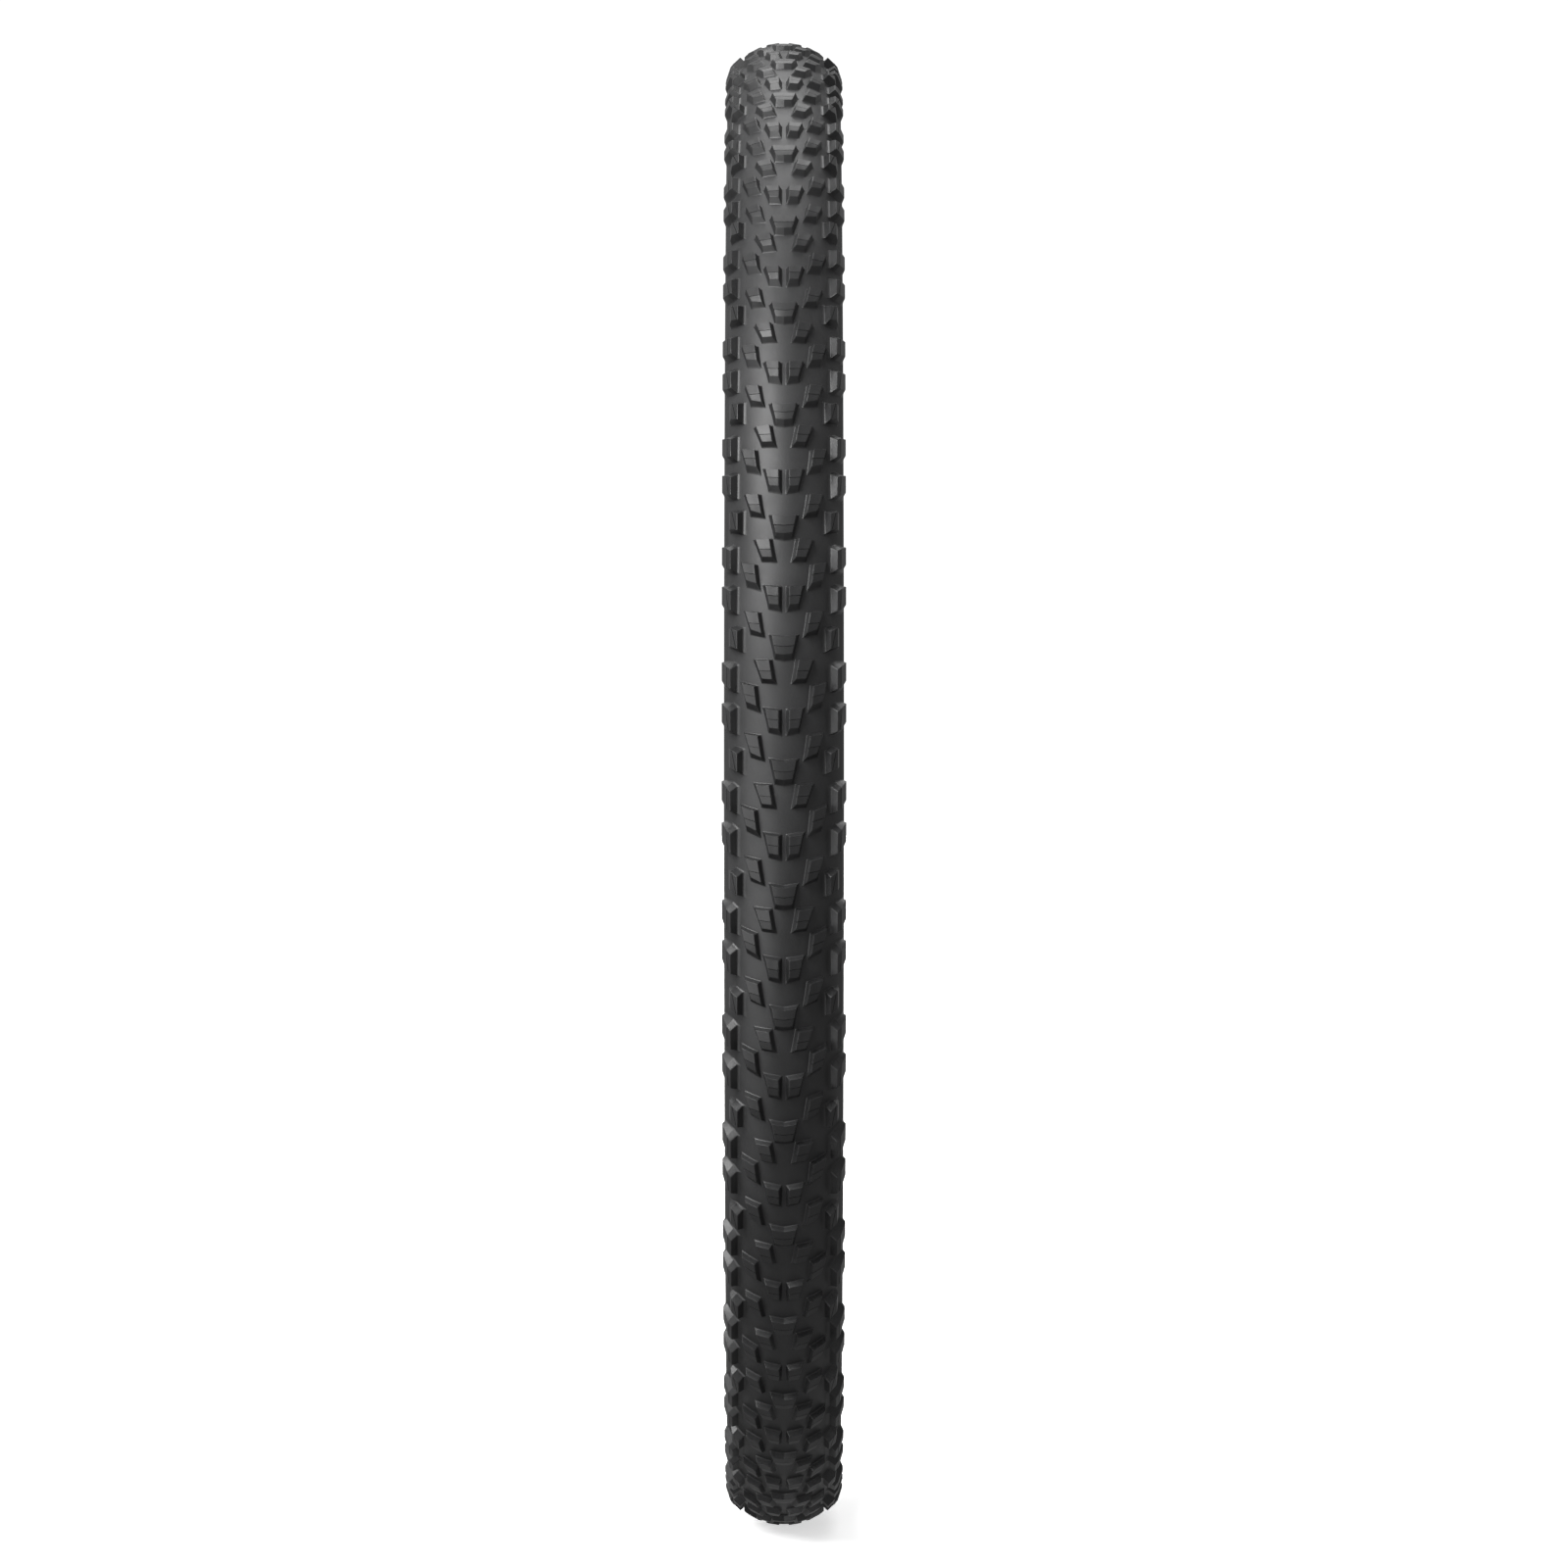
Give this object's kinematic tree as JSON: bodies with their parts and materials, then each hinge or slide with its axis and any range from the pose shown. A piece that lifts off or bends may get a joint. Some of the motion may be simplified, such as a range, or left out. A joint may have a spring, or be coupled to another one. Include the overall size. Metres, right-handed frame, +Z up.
{
  "type": "mountain bike tyre",
  "caption": "Inflated-shape wide bicycle tyre with low ramped tread blocks, shoulder blocks, two-ply casing and beads for a 622 mm bead seat.",
  "frame": {"origin": "wheel centre, on the axle line midway between the beads", "axes": "+Y along the axle towards the tyre's right side as seen from +X, +Z up, +X towards the viewer; the tread's chevrons point down at +X"},
  "size_m": [0.736, 0.0574, 0.736],
  "materials": {
    "tread_rubber": "matte moulded black rubber",
    "sidewall_rubber": "matte black rubber with faint casing cords",
    "chafer_rubber": "rubberised black fabric strip",
    "inner_rubber": "smooth airtight black rubber",
    "casing_fabric": "rubber-coated nylon cords",
    "breaker_fabric": "woven puncture-resistant fabric",
    "bead_cord": "bundled aramid cord"
  },
  "bodies": {
    "root": {"inner_liner": "inner_rubber", "inner_casing_ply": "casing_fabric", "outer_casing_ply": "casing_fabric", "breaker_belt": "breaker_fabric", "left_bead_core": "bead_cord", "right_bead_core": "bead_cord", "left_bead_filler": "inner_rubber", "right_bead_filler": "inner_rubber", "left_chafer": "chafer_rubber", "right_chafer": "chafer_rubber", "left_sidewall": "sidewall_rubber", "right_sidewall": "sidewall_rubber", "left_fitting_line": "sidewall_rubber", "right_fitting_line": "sidewall_rubber", "tread_base": "tread_rubber", "centre_blocks": "tread_rubber", "left_split_blocks": "tread_rubber", "right_split_blocks": "tread_rubber", "left_inner_blocks": "tread_rubber", "right_inner_blocks": "tread_rubber", "left_middle_blocks": "tread_rubber", "right_middle_blocks": "tread_rubber", "left_outer_blocks": "tread_rubber", "right_outer_blocks": "tread_rubber", "left_edge_blocks_a": "tread_rubber", "right_edge_blocks_a": "tread_rubber", "left_edge_blocks_b": "tread_rubber", "right_edge_blocks_b": "tread_rubber", "left_edge_blocks_c": "tread_rubber", "right_edge_blocks_c": "tread_rubber"}
  },
  "joints": []
}
